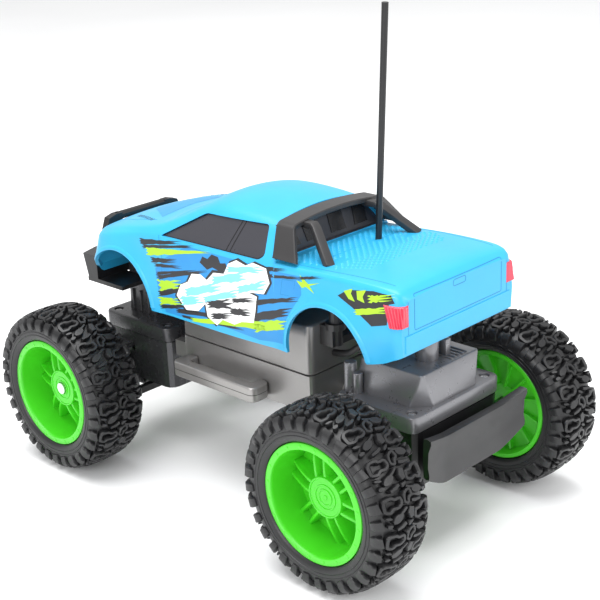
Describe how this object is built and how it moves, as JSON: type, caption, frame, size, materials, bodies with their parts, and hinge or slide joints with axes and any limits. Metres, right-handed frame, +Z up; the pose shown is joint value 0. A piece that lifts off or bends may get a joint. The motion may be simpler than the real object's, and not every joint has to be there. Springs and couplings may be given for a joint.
{
  "type": "remote control car",
  "caption": "Off-road toy truck: pick-up shell on a battery chassis, steered front wheels, a rear axle pod that rolls on a lengthwise pivot, and geared drives to four big-tread wheels.",
  "frame": {"origin": "on the ground, midway between the axles and between the sides", "axes": "+X forwards along the car, +Y to the car's left, +Z up"},
  "size_m": [0.304, 0.182, 0.27],
  "materials": {
    "body_blue": "satin cyan-blue moulded shell",
    "graphite_plastic": "satin graphite moulding",
    "silver_grey_plastic": "metallic grey paint on plastic",
    "pod_grey_plastic": "metallic gunmetal paint on plastic",
    "black_plastic": "black moulding, fine grain",
    "tyre_rubber": "matt charcoal rubber",
    "rim_green": "bright green satin moulding",
    "lamp_red": "translucent red lens",
    "steel": "zinc-plated steel",
    "window_grey": "smoke grey moulding",
    "gear_white": "white acetal",
    "board_green": "green solder mask",
    "cell_wrap": "dark sleeve on a steel can",
    "loom_black": "black sleeve"
  },
  "bodies": {
    "chassis": {"body_shell": "body_blue", "front_gearbox_base": "graphite_plastic", "front_gearbox_cover": "graphite_plastic", "roll_bar": "graphite_plastic", "rear_body_mount": "graphite_plastic", "chassis_tub": "silver_grey_plastic", "chassis_cover": "silver_grey_plastic", "left_side_step": "silver_grey_plastic", "right_side_step": "silver_grey_plastic", "front_bumper_guard": "black_plastic", "antenna": "black_plastic", "left_tail_lamp": "lamp_red", "right_tail_lamp": "lamp_red", "front_motor": "steel", "steering_motor": "steel", "battery_contact_plate": "steel", "pivot_bolt": "steel", "front_pod_screw_front_left": "steel", "front_pod_screw_rear_left": "steel", "front_pod_screw_front_right": "steel", "front_pod_screw_rear_right": "steel", "window_liner": "window_grey", "circuit_board": "board_green", "battery_cell_1": "cell_wrap", "battery_cell_2": "cell_wrap", "battery_cell_3": "cell_wrap", "wiring_loom": "loom_black"},
    "left_front_wheel": {"left_stub_axle": "steel", "front_left_rim": "rim_green", "front_left_tyre": "tyre_rubber"},
    "right_front_wheel": {"right_stub_axle": "steel", "front_right_rim": "rim_green", "front_right_tyre": "tyre_rubber"},
    "left_knuckle": {"left_steering_knuckle": "graphite_plastic"},
    "right_knuckle": {"right_steering_knuckle": "graphite_plastic"},
    "tie_rod": {"steering_tie_rod": "black_plastic"},
    "horn": {"steering_horn": "gear_white"},
    "front_drive": {"front_drive_shaft": "steel", "front_drive_gear": "gear_white"},
    "front_idler": {"front_idler_gear": "gear_white"},
    "front_pinion": {"front_motor_pinion": "gear_white"},
    "rear_pod": {"rear_gearbox_base": "black_plastic", "rear_gearbox_cover": "pod_grey_plastic", "rear_motor": "steel", "rear_bumper": "black_plastic", "rear_pod_screw_front_left": "steel", "rear_pod_screw_rear_left": "steel", "rear_pod_screw_front_right": "steel", "rear_pod_screw_rear_right": "steel"},
    "rear_wheels": {"rear_axle_shaft": "steel", "rear_axle_gear": "gear_white", "rear_left_rim": "rim_green", "rear_left_tyre": "tyre_rubber", "rear_right_rim": "rim_green", "rear_right_tyre": "tyre_rubber"},
    "rear_idler": {"rear_idler_gear": "gear_white"},
    "rear_pinion": {"rear_motor_pinion": "gear_white"},
    "door": {"battery_door": "silver_grey_plastic", "battery_door_screw": "steel"},
    "switch": {"power_switch": "black_plastic"}
  },
  "joints": [
    {"name": "steer_left", "type": "hinge", "parent": "chassis", "child": "left_knuckle", "pos_m": [0.104, 0.05, 0.048], "axis": [0, 0, 1], "range_deg": [-22, 22]},
    {"name": "steer_right", "type": "hinge", "parent": "chassis", "child": "right_knuckle", "pos_m": [0.104, -0.05, 0.048], "axis": [0, 0, 1], "range_deg": [-22, 22]},
    {"name": "tie_rod_slide", "type": "slide", "parent": "chassis", "child": "tie_rod", "axis": [0, 1, 0], "range_m": [-0.0061, 0.0061]},
    {"name": "steering_horn_turn", "type": "hinge", "parent": "chassis", "child": "horn", "pos_m": [0.076, 0, 0.04], "axis": [0, 0, 1], "range_deg": [-30, 30]},
    {"name": "left_front_wheel_spin", "type": "hinge", "parent": "left_knuckle", "child": "left_front_wheel", "pos_m": [0.104, 0.073, 0.048], "axis": [0, 1, 0], "continuous": true},
    {"name": "right_front_wheel_spin", "type": "hinge", "parent": "right_knuckle", "child": "right_front_wheel", "pos_m": [0.104, -0.073, 0.048], "axis": [0, 1, 0], "continuous": true},
    {"name": "front_drive_spin", "type": "hinge", "parent": "chassis", "child": "front_drive", "pos_m": [0.104, 0, 0.048], "axis": [0, 1, 0], "continuous": true},
    {"name": "front_idler_spin", "type": "hinge", "parent": "chassis", "child": "front_idler", "pos_m": [0.09725, 0.017, 0.05969], "axis": [0, 1, 0], "continuous": true},
    {"name": "front_pinion_spin", "type": "hinge", "parent": "chassis", "child": "front_pinion", "pos_m": [0.10593, 0.015, 0.07003], "axis": [0, 1, 0], "continuous": true},
    {"name": "rear_pod_roll", "type": "hinge", "parent": "chassis", "child": "rear_pod", "pos_m": [-0.07, 0, 0.062], "axis": [1, 0, 0], "range_deg": [-12, 12], "deforming": ["wiring_loom"]},
    {"name": "rear_axle_spin", "type": "hinge", "parent": "rear_pod", "child": "rear_wheels", "pos_m": [-0.104, 0, 0.048], "axis": [0, 1, 0], "continuous": true},
    {"name": "rear_idler_spin", "type": "hinge", "parent": "rear_pod", "child": "rear_idler", "pos_m": [-0.09725, 0.017, 0.05969], "axis": [0, 1, 0], "continuous": true},
    {"name": "rear_pinion_spin", "type": "hinge", "parent": "rear_pod", "child": "rear_pinion", "pos_m": [-0.10593, 0.015, 0.07003], "axis": [0, 1, 0], "continuous": true},
    {"name": "battery_door_swing", "type": "hinge", "parent": "chassis", "child": "door", "pos_m": [0.034, 0, 0.058], "axis": [0, -1, 0], "range_deg": [0, 50]},
    {"name": "power_switch_slide", "type": "slide", "parent": "chassis", "child": "switch", "axis": [1, 0, 0], "range_m": [0, 0.004]}
  ],
  "couplings": [
    {"joint": "steer_right", "follows": "steer_left", "ratio": 1},
    {"joint": "tie_rod_slide", "follows": "steer_left", "m_per_rad": -0.0156},
    {"joint": "steering_horn_turn", "follows": "steer_left", "ratio": -1.34},
    {"joint": "right_front_wheel_spin", "follows": "left_front_wheel_spin", "ratio": 1},
    {"joint": "front_drive_spin", "follows": "left_front_wheel_spin", "ratio": 1},
    {"joint": "front_idler_spin", "follows": "left_front_wheel_spin", "ratio": -2},
    {"joint": "front_pinion_spin", "follows": "left_front_wheel_spin", "ratio": 4},
    {"joint": "rear_idler_spin", "follows": "rear_axle_spin", "ratio": -2},
    {"joint": "rear_pinion_spin", "follows": "rear_axle_spin", "ratio": 4}
  ]
}
